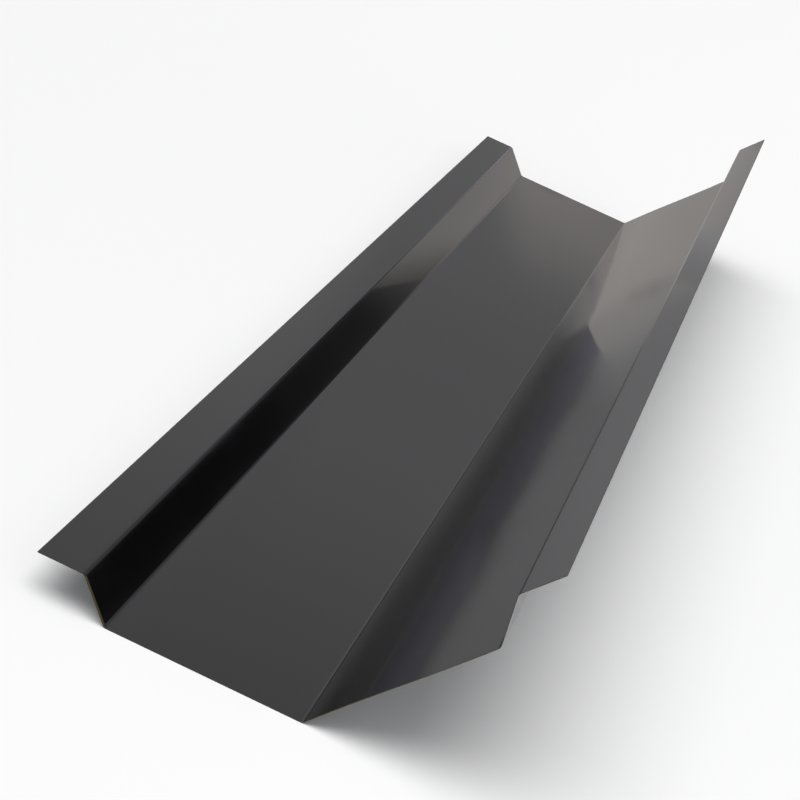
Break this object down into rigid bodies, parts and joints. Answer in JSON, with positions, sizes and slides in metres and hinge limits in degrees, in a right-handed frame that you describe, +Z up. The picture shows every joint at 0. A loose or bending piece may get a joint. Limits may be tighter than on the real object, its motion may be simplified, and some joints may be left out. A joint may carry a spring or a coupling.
{
  "type": "valley flashing",
  "caption": "Long folded steel trough that lines a roof valley, with wings sloping to a central fold and an upstand and flange along each side.",
  "frame": {"origin": "on the floor under the middle of the flashing: half way along its length and half way across its overall width", "axes": "+Y along the valley fold, +X across the valley from the wing that lies on the floor to the wing that leans up, +Z up from the floor"},
  "size_m": [0.4498, 2.44, 0.2408],
  "materials": {
    "painted_sheet": "satin"
  },
  "bodies": {
    "root": {"valley_flashing": "painted_sheet"}
  },
  "joints": []
}
